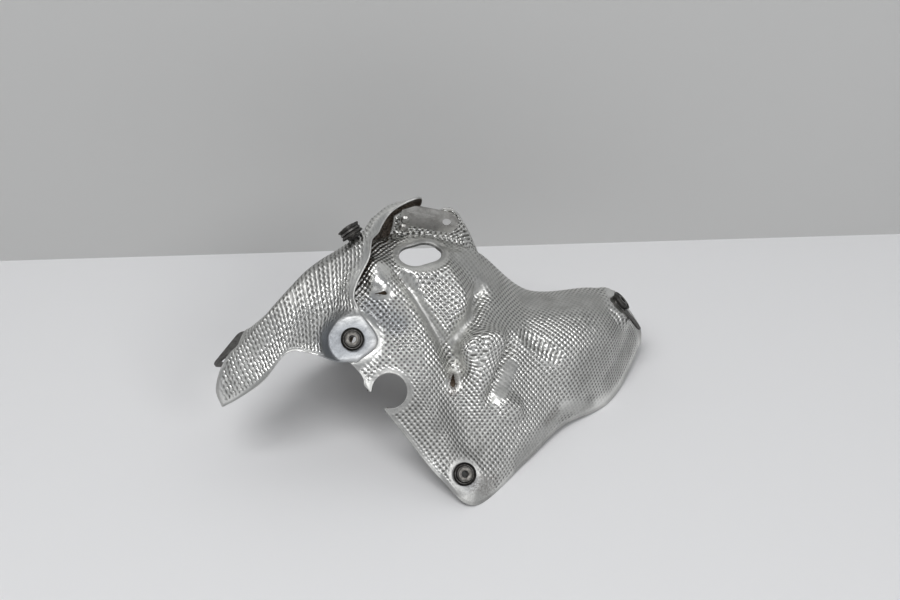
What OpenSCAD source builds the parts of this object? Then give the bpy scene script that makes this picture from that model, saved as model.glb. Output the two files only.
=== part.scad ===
// Exhaust heat shield pressed from embossed aluminium sheet: a domed main panel, a half round
// sleeve panel that laps over it, four steel brackets and four damped mounting bushes.
// It lies as it comes to rest, on its front corner, its right lobe and the tongue of its sleeve.

/* [Sheet] */
// Thickness of the embossed sheet
sheet_t = 1; // [0.8:0.1:1.3]
// Thickness of the hem folded round every edge
hem_t = 1.7; // [1.3:0.1:2]
// Gap between faces that lie on each other
seat_gap = 0.2; // [0.1:0.05:0.3]
// Radius of the flat seat pressed round each bush
seat_r = 12.5; // [12:0.5:14]
// Width over which a flat seat runs out into the sheet
seat_fade = 8; // [6:1:12]

/* [Main panel relief] */
// Depth of the long groove left of the upper ridge
groove_h = 6; // [3:0.5:8]
// Half width of that groove
groove_w = 7; // [6:0.5:9]
// Height of the upper ridge under the round opening
ridge_h = 8.5; // [5:0.5:10]
// Half width of the upper ridge
ridge_w = 12; // [10:0.5:15]
// Depth of the crease between the upper ridge and the middle bulge
crease_h = 9; // [6:0.5:10]
// Half width of that crease
crease_w = 8; // [7:0.5:10]
// Height of the middle bulge
bulge_h = 8.5; // [6:0.5:10]
// Half width of the middle bulge
bulge_w = 13; // [11:0.5:16]
// Depth of the valley between the middle bulge and the right lobe
valley_h = 8.5; // [5:0.5:10]
// Half width of that valley
valley_w = 8.5; // [7:0.5:11]
// Height of the small boss below that valley
boss_h = 5; // [2:0.5:7]
// Half width of the small boss
boss_w = 9.5; // [8:0.5:12]
// Height of the hump left of the round opening
hump_h = 8.5; // [5:0.5:10]
// Half width of the hump
hump_w = 11; // [9:0.5:13]
// Height of the soft swelling over the notch
swell_h = 3.5; // [1:0.5:5]
// Half width of the soft swelling
swell_w = 17; // [14:1:20]
// Height of the dome of the right lobe
lobe_h = 7; // [3:0.5:10]
// Half width of the dome of the right lobe
lobe_w = 31; // [26:1:36]

/* [Openings] */
// Radius of the round opening in the top
opening_r = 22; // [18:0.5:24]
// Depth of the lip turned down round the opening
lip_h = 3; // [2:0.5:5]
// Radius of the round notch in the left edge
notch_r = 15.5; // [12:0.5:18]
// Length of the rusted hole below the crease
rust_hole_l = 11; // [6:0.5:14]
// Width of the rusted hole
rust_hole_w = 5; // [3:0.5:7]
// Length of the slit below the hump
slit_l = 9; // [6:0.5:11]
// Width of the slit
slit_w = 3.5; // [2:0.5:5]

/* [Bushes] */
// Radius of the bore through a bush collar
bore_r = 3.2; // [2.6:0.1:3.5]
// Wall of a bush collar
collar_t = 1.1; // [0.8:0.1:1.4]
// Radius of the rim rolled over at each collar end
collar_rim_r = 5.8; // [5.6:0.1:6.2]
// Thickness of the rolled collar rim
collar_rim_t = 0.8; // [0.6:0.1:1]
// Outer radius of the dished washers
washer_r = 10; // [9.5:0.1:11]
// Thickness of the dished washers
washer_t = 0.9; // [0.7:0.1:1]
// Height of a washer from the sheet to its collar seat
washer_h = 3.2; // [2.6:0.1:4]
// Radius of the wire mesh ring between the washers
mesh_r = 6; // [5.6:0.1:6.4]
// Radial clearance between pieces that turn round each other
play = 0.15; // [0.1:0.05:0.25]

/* [Brackets] */
// Thickness of the bracket steel
strap_t = 1.5; // [1.2:0.1:2]
// Width of the top strap
top_strap_w = 21; // [18:0.5:22]
// Length of the top strap from its hidden end to its bolt hole
top_strap_l = 41; // [38:1:44]
// Radius of the bolt hole in the top strap
top_hole_r = 3.8; // [3.2:0.1:4.3]
// Half width of the stiffening bead along the top strap
bead_w = 2.3; // [1.5:0.1:3]
// Height of the stiffening bead
bead_h = 1.3; // [0.8:0.1:1.8]
// Length of the stiffening bead
bead_l = 26; // [18:1:28]
// Length of the small leg under the hidden end of the top strap
leg_l = 7.5; // [7:0.5:9]
// Width of the small leg
leg_w = 9; // [6:0.5:12]
// Half length of the plate of the left bracket
left_l = 22; // [20:0.5:24]
// Width of that plate
left_w = 14; // [13:0.5:16]
// Reach of its arm beyond the plate
left_arm_l = 28; // [26:0.5:29]
// Width of its arm
left_arm_w = 9; // [7:0.5:10]
// Radius of the bolt hole in the left bracket
left_hole_r = 3.3; // [2.5:0.1:4]
// Corner radius of the left bracket
left_corner_r = 6; // [3:0.5:8]
// Width of the bracket under the upper bush
upper_w = 13; // [11:0.5:15]
// Length of that bracket from its bush to its rivet
upper_l = 24; // [22:0.5:28]
// Width of the right strap
right_w = 10; // [7:0.5:12]
// Length of the right strap beyond its bush
right_l = 32; // [26:1:36]
// Shank radius of the rivets
rivet_r = 2; // [1.6:0.1:2.4]
// Radius of the rivet heads
rivet_head_r = 4; // [3.2:0.1:4.5]
// Height of the rivet heads
rivet_head_h = 1.4; // [1:0.1:2]

/* [Hidden] */
$fn = 48;

// Character lines of the main panel, from the front edge over the crest to the rear edge.
// Each runs from left to right, and the sheet is lofted through them.
main_lines = [
  [[-72, 60, 83], [-43, 40, 52], [-8, 13, 19], [23, 1, 0], [67, 54, 2], [102, 98, 5], [150, 140, 0], [187, 214, 12]],
  [[-76, 67, 90], [-36, 50, 68], [-5, 28, 37], [23, 14, 16], [54, 43, 24], [89, 89, 31], [130, 128, 36], [184, 210, 32]],
  [[-101, 86, 113], [-46, 70, 95], [-17, 54, 73], [11, 48, 48], [43, 59, 53], [78, 106, 65], [120, 138, 68], [175, 206, 50]],
  [[-94, 110, 137], [-55, 97, 119], [-24, 84, 107], [4, 78, 89], [35, 79, 95], [70, 131, 89], [127, 168, 82], [164, 213, 64]],
  [[-80, 137, 155], [-60, 119, 145], [-32, 114, 138], [-4, 113, 128], [30, 132, 120], [73, 166, 94], [129, 191, 85], [160, 215, 68]],
  [[-71, 158, 163], [-49, 143, 156], [-29, 148, 154], [-5, 156, 150], [25, 170, 143], [72, 192, 90], [130, 205, 83], [158, 222, 68]],
  [[-61, 170, 160], [-43, 173, 157], [-23, 177, 155], [1, 180, 152], [25, 180, 134], [70, 210, 72], [126, 223, 67], [160, 228, 60]],
  [[-54, 180, 158], [-39, 182, 161], [-22, 182, 162], [4, 182, 162], [33, 192, 110], [79, 230, 43], [130, 245, 38], [172, 233, 34]],
  [[-51, 182, 165], [-38, 182, 169], [-21, 182, 169], [7, 182, 168], [45, 208, 76], [85, 239, 22], [133, 256, 18], [179, 238, 18]],
  [[-49, 182, 176], [-37, 182, 182], [-20, 182, 175], [9, 182, 174], [54, 223, 43], [91, 247, 6], [137, 266, 2], [182, 240, 4]],
];
// Character lines of the sleeve panel, from the near edge round the back to the far edge,
// each from the lower left end to the upper right rim
sleeve_lines = [
  [[-194, 52, 66], [-178, 50, 78], [-157, 50, 96], [-136, 60, 118], [-116, 65, 113], [-97, 67, 104], [-79, 74, 97]],
  [[-198, 56, 80], [-179, 54, 95], [-156, 61, 113], [-133, 66, 131], [-113, 72, 124], [-89, 79, 110], [-62, 83, 113]],
  [[-194, 62, 96], [-174, 61, 116], [-152, 70, 136], [-126, 79, 152], [-104, 86, 146], [-91, 91, 134], [-79, 101, 133]],
  [[-186, 67, 110], [-168, 70, 129], [-146, 80, 151], [-120, 101, 169], [-104, 106, 168], [-94, 106, 160], [-82, 112, 146]],
  [[-182, 87, 104], [-165, 90, 122], [-143, 102, 145], [-118, 122, 163], [-96, 121, 175], [-80, 127, 174], [-68, 134, 168]],
  [[-177, 103, 108], [-162, 110, 118], [-140, 123, 134], [-114, 144, 152], [-91, 139, 173], [-72, 148, 180], [-60, 160, 180]],
  [[-171, 119, 98], [-156, 128, 105], [-135, 144, 116], [-112, 166, 130], [-87, 164, 166], [-63, 172, 185], [-48, 176, 188]],
  [[-167, 134, 73], [-150, 147, 82], [-130, 166, 86], [-109, 192, 79], [-84, 190, 130], [-57, 195, 174], [-26, 188, 191]],
  [[-158, 148, 56], [-142, 166, 58], [-124, 188, 47], [-104, 219, -1], [-82, 215, 60], [-59, 215, 128], [-34, 206, 157]],
];
// Share of a panel's length that its hem takes at each side
hem_share = 0.012;
// Facets along and across each panel
main_cells = [50, 42];
sleeve_cells = [42, 40];

// Pressed relief of the main panel: height or depth, half width and the line it follows
main_relief = [
  [-groove_h, groove_w, [[-39, 127, 148], [-24, 108, 131], [-9, 93, 111], [1, 82, 94]]],
  [ridge_h, ridge_w, [[-5, 142, 145], [7, 125, 131], [11, 116, 123]]],
  [-crease_h, crease_w, [[27, 138, 125], [20, 117, 120], [4, 90, 103], [6, 76, 86]]],
  [bulge_h, bulge_w, [[15, 86, 101], [38, 96, 102]]],
  [-valley_h, valley_w, [[54, 106, 91], [48, 83, 81], [38, 63, 68]]],
  [boss_h, boss_w, [[44, 64, 62], [56, 68, 50]]],
  [hump_h, hump_w, [[-64, 131, 153], [-61, 121, 147]]],
  [swell_h, swell_w, [[-43, 94, 117], [-25, 72, 94]]],
  [lobe_h, lobe_w, [[99, 131, 77], [143, 163, 60]]],
];

// Seats: centre on the face of the sheet, outward normal, direction of the long side,
// and how far the clamped stack stands above the sheet
tab_seat = [[-83, 85, 112], [0, -0.72, 0.69], [1, 0, 0], sheet_t + seat_gap];
front_seat = [[12, 15.5, 21], [0.2, -0.69, 0.7], [1, 0, 0], 0];
upper_drop = 7.6;
upper_seat = [[-85.8, 141.2, 186.5], [-0.56, 0.48, 0.68], [0, 0.82, -0.57], 0];
upper_foot_seat = [upper_seat[0] + upper_l * unit(upper_seat[2]) - upper_drop * unit(upper_seat[1]),
  upper_seat[1], upper_seat[2], 0];
right_seat = [[159.2, 200.7, 68.5], [0.71, 0.06, 0.7], [0.6, -0.6, -0.55], strap_t + seat_gap];
strap_gap = 0.6;
top_seat = [[-3, 182, 171], [0, -1, 0], [-1, 0, 0.22], strap_gap];
left_seat = [[-151, 129, 108], [-0.57, 0.68, 0.46], [-0.72, -0.52, -0.46], 0];
opening_seat = [[-26, 151, 154], [0.14, -0.16, 0.97], [1, 0, 0], 0];
notch_seat = [[-50, 58, 78], [-0.06, -0.83, 0.55], [1, 0, 0], 0];
rust_hole_seat = [[2.5, 74, 78], [0.28, -0.6, 0.75], [0.15, 0.8, 0.6], 0];
slit_seat = [[-60, 111, 142], [-0.08, -0.88, 0.47], [1, 0, 0], 0];
left_plate_seat = [[-194, 95, 94], [-0.4, 0, 0.92], [0.454, 0.87, 0.196], 0];
tab_seat_r = 20;
right_seat_r = 17;
top_rivets_x = top_strap_l - 4.5;
top_rivets_y = [5.5, 14];
left_seat_r = 14;
// Drop of the arm of the left bracket, and width and length of its riveted tab
left_arm_drop = 14.7;
left_tab = [12, 13.5];
opening_seat_r = opening_r + 4;
upper_foot_r = 14;
seat_reach = 12;
// Centres and radii of the two flats of the flange behind the top strap
flange_flats = [top_seat[0] + [-5, 0, 2], top_seat[0] + [5.5 - top_rivets_x, 0, -1]];
flange_flats_r = [16, 12];
flange_reach = 4;

box_base = [-7.8, 132.6, -1.6];
lip_t = 1.6;
lip_rise = 0.8;
// Length of the tools that cut holes, and of those that cut one layer only
cut_l = 30;
layer_cut_l = 10;
collar_r = bore_r + collar_t;
washer_hub_r = mesh_r + 2 * play;
washer_foot_r = mesh_r + 1.4;
washer_foot_w = 1.1;
mesh_hole_r = mesh_r + 2 * play;

function unit(v) = v / norm(v);
function lift(seat, h) = seat[0] + h * unit(seat[1]);

// Point at share t between the two middle ones of four points, on a smooth curve
function blend4(a, b, c, d, t) =
  (2 * b + (c - a) * t + (2 * a - 5 * b + 4 * c - d) * t * t + (3 * b - a - 3 * c + d) * t * t * t) / 2;
// Point at share u along a line of points
function along(line, u) =
  let (n = len(line) - 1, i = min(floor(u * n), n - 1), b = line[i], c = line[i + 1],
    a = i > 0 ? line[i - 1] : 2 * b - c, d = i + 2 <= n ? line[i + 2] : 2 * c - b)
  blend4(a, b, c, d, u * n - i);
// Shares at which the grid is cut, with a narrow first and last cell that carry the hem
function shares(cells) = concat(0,
  [for (i = [0:cells - 2]) hem_share + (1 - 2 * hem_share) * i / (cells - 2)], 1);
// Rows of points lofted through a set of lines
function loft(lines, cells) =
  let (rows = [for (line = lines) [for (u = shares(cells[0])) along(line, u)]],
    posts = [for (i = [0:cells[0]]) [for (row = rows) row[i]]])
  [for (v = shares(cells[1])) [for (post = posts) along(post, v)]];
// Outward normal of a grid of points at one of them
function grid_normal(grid, i, j) =
  let (ni = len(grid[0]) - 1, nj = len(grid) - 1)
  unit(cross(grid[j][min(i + 1, ni)] - grid[j][max(i - 1, 0)],
    grid[min(j + 1, nj)][i] - grid[max(j - 1, 0)][i]));
// Distance of a point from a stretch and from a line of points
function stretch_distance(p, a, b) =
  let (ab = b - a, t = max(0, min(1, (p - a) * ab / (ab * ab)))) norm(p - a - t * ab);
function line_distance(p, line) =
  min([for (k = [0:len(line) - 2]) stretch_distance(p, line[k], line[k + 1])]);
// Height of all the pressed relief at a point
function relief(p, features, k = 0) = k == len(features) ? 0 :
  features[k][0] * exp(-pow(line_distance(p, features[k][2]) / features[k][1], 2))
  + relief(p, features, k + 1);
function fade(x, full, none) = let (t = max(0, min(1, (none - x) / (none - full)))) t * t * (3 - 2 * t);
// A point pulled onto the flat of each seat that it is near: [centre, normal, radius, reach]
function seated(p, flats, k = 0) = k == len(flats) ? p :
  let (n = flats[k][1], v = p - flats[k][0], h = v * n, r = norm(v - h * n), pull =
    fade(r, flats[k][2], flats[k][2] + seat_fade) * fade(abs(h), flats[k][3], 2 * flats[k][3]))
  seated(p - pull * h * n, flats, k + 1);
function flat_of(seat, r, h = 0, reach = seat_reach) = [lift(seat, h), unit(seat[1]), r, reach];
// Grid of the outer face of a panel, with its relief and its seats
function pressed(lines, cells, features, flats) =
  let (base = loft(lines, cells))
  [for (j = [0:cells[1]]) [for (i = [0:cells[0]])
    seated(base[j][i] + relief(base[j][i], features) * grid_normal(base, i, j), flats)]];

// Closed sheet under a grid of points, thicker in its outermost ring where it is hemmed.
// The hem is folded inward, or outward by the given share.
module sheet(grid, hem_out = 0) {
  ni = len(grid[0]) - 1;
  nj = len(grid) - 1;
  count = (ni + 1) * (nj + 1);
  function hem(i, j) = min(i, j, ni - i, nj - j) == 0 ? hem_t - sheet_t : 0;
  outer = [for (j = [0:nj]) for (i = [0:ni]) grid[j][i]
    + hem_out * hem(i, j) * grid_normal(grid, i, j)];
  inner = [for (j = [0:nj]) for (i = [0:ni]) grid[j][i]
    - (sheet_t + (1 - hem_out) * hem(i, j)) * grid_normal(grid, i, j)];
  function at(i, j) = j * (ni + 1) + i;
  loop = concat([for (i = [0:ni - 1]) at(i, 0)], [for (j = [0:nj - 1]) at(ni, j)],
    [for (i = [ni:-1:1]) at(i, nj)], [for (j = [nj:-1:1]) at(0, j)]);
  polyhedron(points = concat(outer, inner), convexity = 10, faces = concat(
    [for (j = [0:nj - 1]) for (i = [0:ni - 1]) each
      [[at(i, j), at(i, j + 1), at(i + 1, j + 1)], [at(i, j), at(i + 1, j + 1), at(i + 1, j)]]],
    [for (j = [0:nj - 1]) for (i = [0:ni - 1]) each
      [[count + at(i, j), count + at(i + 1, j + 1), count + at(i, j + 1)],
       [count + at(i, j), count + at(i + 1, j), count + at(i + 1, j + 1)]]],
    [for (k = [0:len(loop) - 1]) let (a = loop[k], b = loop[(k + 1) % len(loop)]) each
      [[a, b, count + b], [a, count + b, count + a]]]));
}

// Moves a piece to a seat, with its z along the normal and its x along the long side
module at_seat(seat) {
  n = unit(seat[1]);
  x = unit(seat[2] - (seat[2] * n) * n);
  y = cross(n, x);
  c = lift(seat, seat[3]);
  multmatrix([[x[0], y[0], n[0], c[0]], [x[1], y[1], n[1], c[1]], [x[2], y[2], n[2], c[2]],
    [0, 0, 0, 1]]) children();
}
module seat_hole(seat, r) { at_seat(seat) cylinder(r = r, h = cut_l, center = true); }

// Hole with round ends along the long side of a seat
module slot_hole(seat, length, width) {
  at_seat(seat) linear_extrude(cut_l, center = true) {
    square([length - width, width], center = true);
    for (side = [-1, 1]) translate([side * (length - width) / 2, 0]) circle(width / 2);
  }
}
// Places each of the two rivets of the top strap, seen from the hole in the strap
module at_top_rivets() {
  for (y = top_rivets_y) at_seat(top_seat) translate([top_rivets_x, y, 0]) children();
}

module main_panel() {
  color([0.78, 0.78, 0.76]) difference() {
    union() {
      sheet(pressed(main_lines, main_cells, main_relief, [
        flat_of(tab_seat, tab_seat_r), flat_of(front_seat, seat_r), flat_of(right_seat, right_seat_r),
        for (k = [0, 1]) [flange_flats[k], top_seat[1], flange_flats_r[k], flange_reach],
        flat_of(opening_seat, opening_seat_r)]));
      at_seat(opening_seat) translate([0, 0, -lip_h]) cylinder(r = opening_r + lip_t, h = lip_h + lip_rise);
    }
    seat_hole(tab_seat, mesh_hole_r);
    seat_hole(front_seat, mesh_hole_r);
    seat_hole(right_seat, mesh_hole_r);
    seat_hole(opening_seat, opening_r);
    seat_hole(notch_seat, notch_r);
    at_seat(top_seat) cylinder(r = top_hole_r + 1, h = layer_cut_l, center = true);
    at_top_rivets() cylinder(r = rivet_r + play, h = layer_cut_l, center = true);
    slot_hole(rust_hole_seat, rust_hole_l, rust_hole_w);
    slot_hole(slit_seat, slit_l, slit_w);
  }
}
module sleeve_panel() {
  color([0.75, 0.75, 0.73]) difference() {
    sheet(pressed(sleeve_lines, sleeve_cells, [], [
      flat_of(tab_seat, tab_seat_r, tab_seat[3]), flat_of(upper_foot_seat, upper_foot_r),
      flat_of(left_seat, left_seat_r)]), hem_out = 1);
    seat_hole(tab_seat, mesh_hole_r);
    seat_hole(upper_foot_seat, rivet_r + play);
    seat_hole(left_seat, rivet_r + play);
  }
}

module top_bracket() {
  color([0.55, 0.55, 0.54]) at_seat(top_seat) difference() {
    union() {
      linear_extrude(strap_t) {
        circle(top_strap_w / 2);
        polygon([[0, top_strap_w / 2], [0, -top_strap_w / 2], [top_strap_l * 0.75, -top_strap_w / 2],
          [top_strap_l, -top_strap_w / 5], [top_strap_l, top_strap_w / 2]]);
        translate([top_strap_l - leg_w, 0]) square([leg_w, top_strap_w / 2 + leg_l]);
      }
      translate([top_strap_l - bead_l - 4, -2.5, strap_t]) rotate([90, 0, 90]) linear_extrude(bead_l)
        polygon([[-bead_w, -0.5], [-bead_w, 0], [-bead_w * 0.6, bead_h], [bead_w * 0.6, bead_h],
          [bead_w, 0], [bead_w, -0.5]]);
    }
    cylinder(r = top_hole_r, h = layer_cut_l, center = true);
    for (y = top_rivets_y) translate([top_rivets_x, y, 0]) cylinder(r = rivet_r + play, h = layer_cut_l, center = true);
  }
}
// The plate seen past the end of the sleeve, and the tab that is riveted inside the sleeve
module left_bracket() {
  c = left_corner_r;
  color([0.5, 0.5, 0.5]) difference() {
    union() {
      at_seat(left_plate_seat) linear_extrude(strap_t) {
        polygon([[c - left_l, 0], [left_l - c, 0], [left_l, -c], [left_l - 1, 1 - left_w],
          [left_l + left_arm_l * 0.36, -left_w - left_arm_drop * 0.75],
          [left_l + left_arm_l * 0.64, -left_w - left_arm_drop * 0.82],
          [left_l + left_arm_l, -left_w - left_arm_drop],
          [left_l + left_arm_l - left_arm_w * 0.44, -left_w - left_arm_drop - left_arm_w * 0.92],
          [left_l + left_arm_l * 0.57, -left_w - left_arm_drop - left_arm_w],
          [left_l - left_arm_w * 1.33, -left_w - left_arm_drop * 0.75],
          [-left_l, -left_w], [-left_l, -c]]);
        for (side = [-1, 1]) translate([side * (left_l - c), -c]) circle(c);
      }
      at_seat(left_seat) translate([-left_tab[0] / 2, -left_tab[0] / 2, -sheet_t - seat_gap - strap_t])
        cube([left_tab[0], left_tab[1], strap_t]);
    }
    at_seat(left_plate_seat) translate([8 - left_l, 4.5 - left_w, 0])
      cylinder(r = left_hole_r, h = layer_cut_l, center = true);
    seat_hole(left_seat, rivet_r + play);
  }
}
// Stepped plate: the eye under the bush, a riser and a foot that is riveted to the sleeve
module upper_bracket() {
  riser_x = upper_l - 9;
  foot_z = seat_gap - upper_drop;
  color([0.5, 0.5, 0.5]) at_seat(upper_seat) difference() {
    union() {
      translate([0, 0, -strap_t]) linear_extrude(strap_t) {
        circle(washer_foot_r + washer_foot_w + 1);
        translate([0, -upper_w / 2]) square([riser_x + strap_t, upper_w]);
      }
      translate([riser_x, -upper_w / 2, foot_z]) cube([strap_t, upper_w, -foot_z]);
      translate([riser_x, -upper_w / 2, foot_z]) cube([upper_l + 6 - riser_x, upper_w, strap_t]);
    }
    cylinder(r = mesh_hole_r, h = 3 * strap_t, center = true);
    translate([upper_l, 0, foot_z]) cylinder(r = rivet_r + play, h = 3 * strap_t, center = true);
  }
}
module right_bracket() {
  color([0.42, 0.42, 0.42]) at_seat(right_seat) translate([0, 0, -strap_t]) difference() {
    linear_extrude(strap_t) {
      circle(washer_foot_r + washer_foot_w);
      translate([0, -right_w / 2]) square([right_l - right_w / 2, right_w]);
      translate([right_l - right_w / 2, 0]) circle(right_w / 2);
    }
    cylinder(r = mesh_hole_r, h = layer_cut_l, center = true);
  }
}

// Rivet whose outer head stands on a stack of the given thickness
module rivet(stack) {
  for (side = [0, 1]) translate([0, 0, side * -stack]) mirror([0, 0, side]) translate([0, 0, play])
    cylinder(r1 = rivet_head_r, r2 = rivet_head_r * 0.6, h = rivet_head_h);
  translate([0, 0, -stack - play - 0.1]) cylinder(r = rivet_r, h = stack + 2 * play + 0.2);
}
module top_bracket_rivets() {
  color([0.7, 0.7, 0.7]) at_top_rivets() translate([0, 0, strap_t]) rivet(strap_t + strap_gap + sheet_t);
}
module upper_bracket_rivet() {
  color([0.7, 0.7, 0.7]) at_seat(upper_foot_seat) translate([0, 0, seat_gap + strap_t])
    rivet(strap_t + seat_gap + sheet_t);
}
module left_bracket_rivet() {
  color([0.7, 0.7, 0.7]) at_seat(left_seat) rivet(sheet_t + seat_gap + strap_t);
}

// Pieces of a bush on a stack of the given thickness whose outer face is at z = 0
module outer_washer() {
  color([0.35, 0.34, 0.33]) rotate_extrude() polygon([
    [collar_r + play, washer_h - washer_t], [washer_hub_r, washer_h - washer_t],
    [washer_foot_r, seat_gap], [washer_foot_r + washer_foot_w, seat_gap],
    [washer_r, washer_h - washer_t], [washer_r, washer_h],
    [washer_foot_r + washer_foot_w - 0.3, seat_gap + washer_t],
    [washer_foot_r + 0.3, seat_gap + washer_t],
    [washer_hub_r + 0.3, washer_h], [collar_r + play, washer_h]]);
}
module inner_washer(stack) { translate([0, 0, -stack]) mirror([0, 0, 1]) outer_washer(); }
module mesh_ring(stack) {
  reach = washer_h - washer_t - play;
  color([0.6, 0.58, 0.55]) translate([0, 0, -stack - reach]) difference() {
    cylinder(r = mesh_r, h = stack + 2 * reach);
    translate([0, 0, -1]) cylinder(r = collar_r + play, h = stack + 2 * reach + 2);
  }
}
module collar(stack) {
  reach = washer_h + play;
  color([0.45, 0.44, 0.43]) difference() {
    union() {
      translate([0, 0, -stack - reach]) cylinder(r = collar_r, h = stack + 2 * reach);
      for (side = [0, 1]) translate([0, 0, side * -stack]) mirror([0, 0, side])
        translate([0, 0, reach]) {
          cylinder(r = collar_rim_r, h = collar_rim_t / 2);
          translate([0, 0, collar_rim_t / 2])
            cylinder(r1 = collar_rim_r, r2 = collar_rim_r - collar_rim_t / 2, h = collar_rim_t / 2);
        }
    }
    cylinder(r = bore_r, h = cut_l, center = true);
  }
}
module bush_piece(piece, stack) {
  if (piece == "outer_washer") outer_washer();
  if (piece == "inner_washer") inner_washer(stack);
  if (piece == "mesh_ring") mesh_ring(stack);
  if (piece == "collar") collar(stack);
}
module tab_bush(piece) {
  at_seat(tab_seat) bush_piece(piece, 2 * sheet_t + seat_gap);
}
module front_bush(piece) {
  at_seat(front_seat) bush_piece(piece, sheet_t);
}
module upper_bush(piece) {
  at_seat(upper_seat) bush_piece(piece, strap_t);
}
module right_bush(piece) {
  at_seat(right_seat) bush_piece(piece, sheet_t + seat_gap + strap_t);
}

// Moves the part so that the middle of the underside of its box is the origin
module placed() { translate(-box_base) children(); }

placed() main_panel();
placed() sleeve_panel();
placed() top_bracket();
placed() left_bracket();
placed() right_bracket();
placed() upper_bracket();
placed() top_bracket_rivets();
placed() left_bracket_rivet();
placed() upper_bracket_rivet();
placed() tab_bush("outer_washer");  // tab_bush_outer_washer
placed() tab_bush("inner_washer");  // tab_bush_inner_washer
placed() tab_bush("mesh_ring");  // tab_bush_mesh_ring
placed() tab_bush("collar");  // tab_bush_collar
placed() front_bush("outer_washer");  // front_bush_outer_washer
placed() front_bush("inner_washer");  // front_bush_inner_washer
placed() front_bush("mesh_ring");  // front_bush_mesh_ring
placed() front_bush("collar");  // front_bush_collar
placed() upper_bush("outer_washer");  // upper_bush_outer_washer
placed() upper_bush("inner_washer");  // upper_bush_inner_washer
placed() upper_bush("mesh_ring");  // upper_bush_mesh_ring
placed() upper_bush("collar");  // upper_bush_collar
placed() right_bush("outer_washer");  // right_bush_outer_washer
placed() right_bush("inner_washer");  // right_bush_inner_washer
placed() right_bush("mesh_ring");  // right_bush_mesh_ring
placed() right_bush("collar");  // right_bush_collar
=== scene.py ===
import math

import bpy
import numpy as np
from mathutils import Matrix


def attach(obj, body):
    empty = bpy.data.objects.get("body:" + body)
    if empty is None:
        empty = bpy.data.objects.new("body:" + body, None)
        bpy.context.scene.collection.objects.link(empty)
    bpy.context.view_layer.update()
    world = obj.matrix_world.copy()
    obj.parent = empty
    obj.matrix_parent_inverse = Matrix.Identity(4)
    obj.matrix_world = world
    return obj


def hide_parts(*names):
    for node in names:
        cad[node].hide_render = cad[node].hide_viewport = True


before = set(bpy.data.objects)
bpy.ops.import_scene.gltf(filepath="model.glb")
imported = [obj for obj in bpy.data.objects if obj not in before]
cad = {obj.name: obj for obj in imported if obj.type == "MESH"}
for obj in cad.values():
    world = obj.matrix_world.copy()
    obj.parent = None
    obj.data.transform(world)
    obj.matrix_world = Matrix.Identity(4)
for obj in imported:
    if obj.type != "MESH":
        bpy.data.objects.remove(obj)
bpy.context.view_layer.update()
print("frame loaded with", len(cad), "nodes")

# Points below are in the drawing's millimetres; this shift brings them into the frame
drawingShift = np.array([7.8, -132.6, 1.6])


def toFrame(points):
    return (np.asarray(points, float) + drawingShift) / 1000


def unit(v):
    v = np.asarray(v, float)
    return v / np.maximum(np.linalg.norm(v, axis=-1, keepdims=True), 1e-12)


def toLinear(code):
    # sRGB hex such as "c9c8c4" to the linear colour the shaders use
    parts = [int(code[i:i + 2], 16) / 255 for i in (0, 2, 4)]
    return tuple(c / 12.92 if c <= 0.04045 else ((c + 0.055) / 1.055) ** 2.4 for c in parts) + (1,)


def fade(x, full, none):
    t = np.clip((none - x) / (none - full), 0, 1)
    return t * t * (3 - 2 * t)


def curveWeights(count, places):
    # weights that carry a row of points to any places from 0 to 1 on a smooth curve
    x = np.clip(places, 0, 1) * (count - 1)
    i = np.minimum(x.astype(int), count - 2)
    t = x - i
    w = np.zeros((len(x), count + 2))
    row = np.arange(len(x))
    w[row, i] += (-t + 2 * t**2 - t**3) / 2
    w[row, i + 1] += (2 - 5 * t**2 + 3 * t**3) / 2
    w[row, i + 2] += (t + 4 * t**2 - 3 * t**3) / 2
    w[row, i + 3] += (-t**2 + t**3) / 2
    w[:, 1] += 2 * w[:, 0]; w[:, 2] -= w[:, 0]
    w[:, -2] += 2 * w[:, -1]; w[:, -3] -= w[:, -1]
    return w[:, 1:-1]


def loft(net, u, v):
    net = np.asarray(net, float)
    across = np.tensordot(curveWeights(net.shape[0], v), net, axes=(1, 0))
    return np.einsum("ki,kic->kc", curveWeights(net.shape[1], u), across)


def lineDistance(points, line):
    best = np.full(len(points), 1e9)
    for a, b in zip(line[:-1], line[1:]):
        a, b = np.array(a, float), np.array(b, float)
        t = np.clip((points - a) @ (b - a) / ((b - a) @ (b - a)), 0, 1)
        best = np.minimum(best, np.linalg.norm(points - a - t[:, None] * (b - a), axis=1))
    return best


def pressed(panel, u, v):
    # outer face of a panel at places u, v, with its relief and its flat seats
    net, e = panel["lines"], 0.004
    base = loft(net, u, v)
    along = loft(net, np.minimum(u + e, 1), v) - loft(net, np.maximum(u - e, 0), v)
    across = loft(net, u, np.minimum(v + e, 1)) - loft(net, u, np.maximum(v - e, 0))
    normal = unit(np.cross(along, across))
    height = np.zeros(len(base))
    for h, width, line in panel["relief"]:
        height += h * np.exp(-(lineDistance(base, line) / width) ** 2)
    p = base + height[:, None] * normal
    for centre, direction, radius, reach in panel["flats"]:
        n = unit(direction)
        off = p - np.array(centre, float)
        h = off @ n
        r = np.linalg.norm(off - h[:, None] * n, axis=1)
        pull = fade(r, radius, radius + 8) * fade(abs(h), reach, 2 * reach)
        p = p - (pull * h)[:, None] * n
    for h, width, line in panel["fine"]:
        p = p + (h * np.exp(-(lineDistance(p, line) / width) ** 2))[:, None] * normal
    return p


def seatFrame(hole):
    n = unit(hole["normal"])
    x = unit(np.array(hole["long"], float) - (np.array(hole["long"], float) @ n) * n)
    return np.array(hole["at"], float), x, np.cross(n, x), n


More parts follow.
